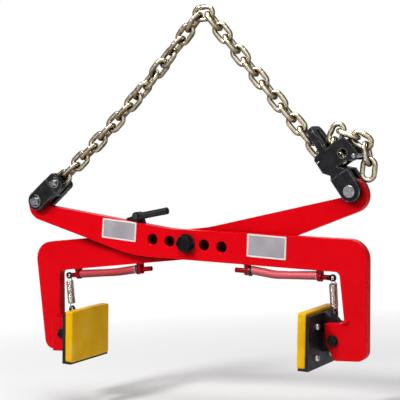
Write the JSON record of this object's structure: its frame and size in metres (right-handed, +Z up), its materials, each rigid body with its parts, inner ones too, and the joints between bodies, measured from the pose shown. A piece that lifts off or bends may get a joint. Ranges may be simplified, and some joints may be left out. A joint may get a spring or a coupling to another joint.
{
  "type": "stone lifting clamp",
  "caption": "Scissor clamp of crossed flat arms hung from chain legs, with tilting sprung grip pads, a latch and a chain shortener, for lifting stone blocks.",
  "frame": {"origin": "inside of the top link's upper bar, where a crane hook bears", "axes": "+Z up, +X along the clamp's span towards the shortening clutch, +Y from the front arm to the rear arm"},
  "size_m": [0.7821, 0.14, 0.7156],
  "materials": {
    "red_paint": "gloss powder coat",
    "black_steel": "satin black forged steel",
    "chain_gold": "yellow passivated zinc",
    "zinc_plate": "bright zinc plate",
    "spring_wire": "drawn spring wire",
    "polyurethane": "cast polyurethane, half matt",
    "label_foil": "brushed foil, blank",
    "black_rubber": "dipped grip, satin",
    "black_plastic": "moulded knob",
    "bronze": "turned bearing bronze"
  },
  "bodies": {
    "hanger": {"top_link": "chain_gold"},
    "left_leg": {"left_chain": "chain_gold", "clevis": "black_steel", "clevis_arm_pin": "zinc_plate", "clevis_arm_circlip": "zinc_plate", "clevis_chain_pin": "zinc_plate", "clevis_chain_circlip": "zinc_plate"},
    "front_jaw": {"front_arm": "red_paint", "front_foot_spacer": "red_paint", "front_foot_cheek": "red_paint", "front_pad_bolt": "black_steel", "front_pad_washers": "black_steel", "front_pad_nut": "black_steel", "front_spring_rod": "red_paint", "front_rod_lugs": "red_paint", "front_rod_collar": "zinc_plate", "front_rod_sleeve": "red_paint", "front_pad_spring": "spring_wire", "pivot_bolt": "black_steel", "pivot_washer_front": "black_steel", "pivot_washer_rear": "black_steel", "pivot_sleeve": "bronze", "friction_washer": "bronze", "pivot_nut": "black_steel", "label_plate_small": "label_foil", "label_plate_large": "label_foil", "latch_lug": "black_steel"},
    "rear_jaw": {"rear_arm": "red_paint", "rear_foot_spacer": "red_paint", "rear_foot_cheek": "red_paint", "rear_pad_bolt": "black_steel", "rear_pad_washers": "black_steel", "rear_pad_nut": "black_steel", "rear_spring_rod": "red_paint", "rear_rod_lugs": "red_paint", "rear_rod_collar": "zinc_plate", "rear_rod_sleeve": "red_paint", "rear_pad_spring": "spring_wire", "latch_catch": "red_paint"},
    "right_leg": {"right_chain": "chain_gold", "tail_chain": "chain_gold", "clutch": "black_steel", "clutch_arm_pin": "zinc_plate", "clutch_arm_circlip": "zinc_plate"},
    "front_grip": {"front_pad_bracket": "black_steel", "front_pad": "polyurethane", "front_pad_screws": "zinc_plate"},
    "rear_grip": {"rear_pad_bracket": "black_steel", "rear_pad": "polyurethane", "rear_pad_screws": "zinc_plate"},
    "latch": {"latch_shaft": "zinc_plate", "latch_lever": "black_steel", "latch_grip": "black_rubber", "latch_pawl": "zinc_plate"},
    "lock": {"lock_pin": "zinc_plate", "lock_knob": "black_plastic"}
  },
  "joints": [
    {"name": "left_leg_swing", "type": "hinge", "parent": "hanger", "child": "left_leg", "pos_m": [-0.008, 0, -0.007], "axis": [0, -1, 0], "range_deg": [-1.1, 1.7]},
    {"name": "front_lever_pin", "type": "hinge", "parent": "left_leg", "child": "front_jaw", "pos_m": [-0.40558, -0.011, -0.36658], "axis": [0, -1, 0], "range_deg": [-8.8, 5.7]},
    {"name": "scissor_pivot", "type": "hinge", "parent": "front_jaw", "child": "rear_jaw", "pos_m": [-0.05458, 0, -0.46008], "axis": [0, -1, 0], "range_deg": [-9, 14]},
    {"name": "rear_lever_pin", "type": "hinge", "parent": "rear_jaw", "child": "right_leg", "pos_m": [0.29642, 0.011, -0.36658], "axis": [0, -1, 0], "range_deg": [-9.4, 6.1]},
    {"name": "front_pad_tilt", "type": "hinge", "parent": "front_jaw", "child": "front_grip", "pos_m": [0.25092, 0, -0.64808], "axis": [0, -1, 0], "range_deg": [-8, 8], "stiffness_Nm_per_rad": 12, "springref_deg": -2.58, "deforming": ["front_pad_spring"]},
    {"name": "rear_pad_tilt", "type": "hinge", "parent": "rear_jaw", "child": "rear_grip", "pos_m": [-0.36008, 0, -0.64808], "axis": [0, -1, 0], "range_deg": [-8, 8], "stiffness_Nm_per_rad": 12, "springref_deg": 2.58, "deforming": ["rear_pad_spring"]},
    {"name": "latch_swing", "type": "hinge", "parent": "front_jaw", "child": "latch", "pos_m": [-0.17058, 0, -0.40558], "axis": [0, -1, 0], "range_deg": [0, 35]},
    {"name": "lock_pull", "type": "slide", "parent": "right_leg", "child": "lock", "axis": [0, 1, 0], "range_m": [0, 0.014]}
  ],
  "couplings": [
    {"joint": "left_leg_swing", "follows": "scissor_pivot", "ratio": 0.1148},
    {"joint": "front_lever_pin", "follows": "scissor_pivot", "ratio": -0.6147},
    {"joint": "rear_lever_pin", "follows": "scissor_pivot", "ratio": -0.6591}
  ]
}
